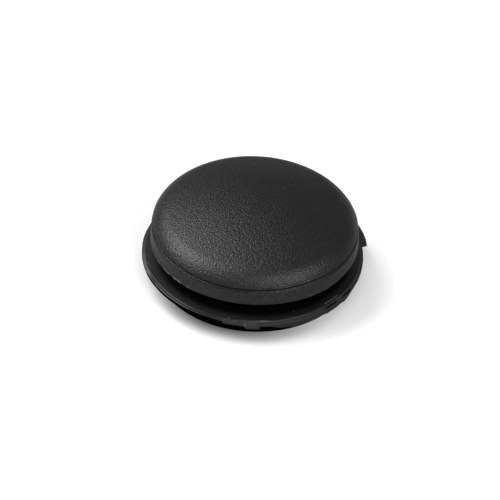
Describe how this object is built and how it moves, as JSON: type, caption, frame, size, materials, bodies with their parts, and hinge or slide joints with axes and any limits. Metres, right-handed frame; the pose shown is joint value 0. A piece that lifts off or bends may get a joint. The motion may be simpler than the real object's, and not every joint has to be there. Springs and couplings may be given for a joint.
{
  "type": "hole cover cap",
  "caption": "Round push-in cap of black rubber that closes a hole in a panel, with a domed head, a groove for the panel's edge and a tapered flange.",
  "frame": {"origin": "on the cap's axis, at the underside of the foot, which is the surface it stands on", "axes": "+Z along the axis, from the foot to the domed head; -Y towards the side with the gate's stub; +X towards the torn tab"},
  "size_m": [0.0348, 0.0346, 0.0129],
  "materials": {
    "rubber": "matt, with a fine moulded grain on the head and smoother skin on the flange"
  },
  "bodies": {
    "root": {"hole_cap": "rubber"}
  },
  "joints": []
}
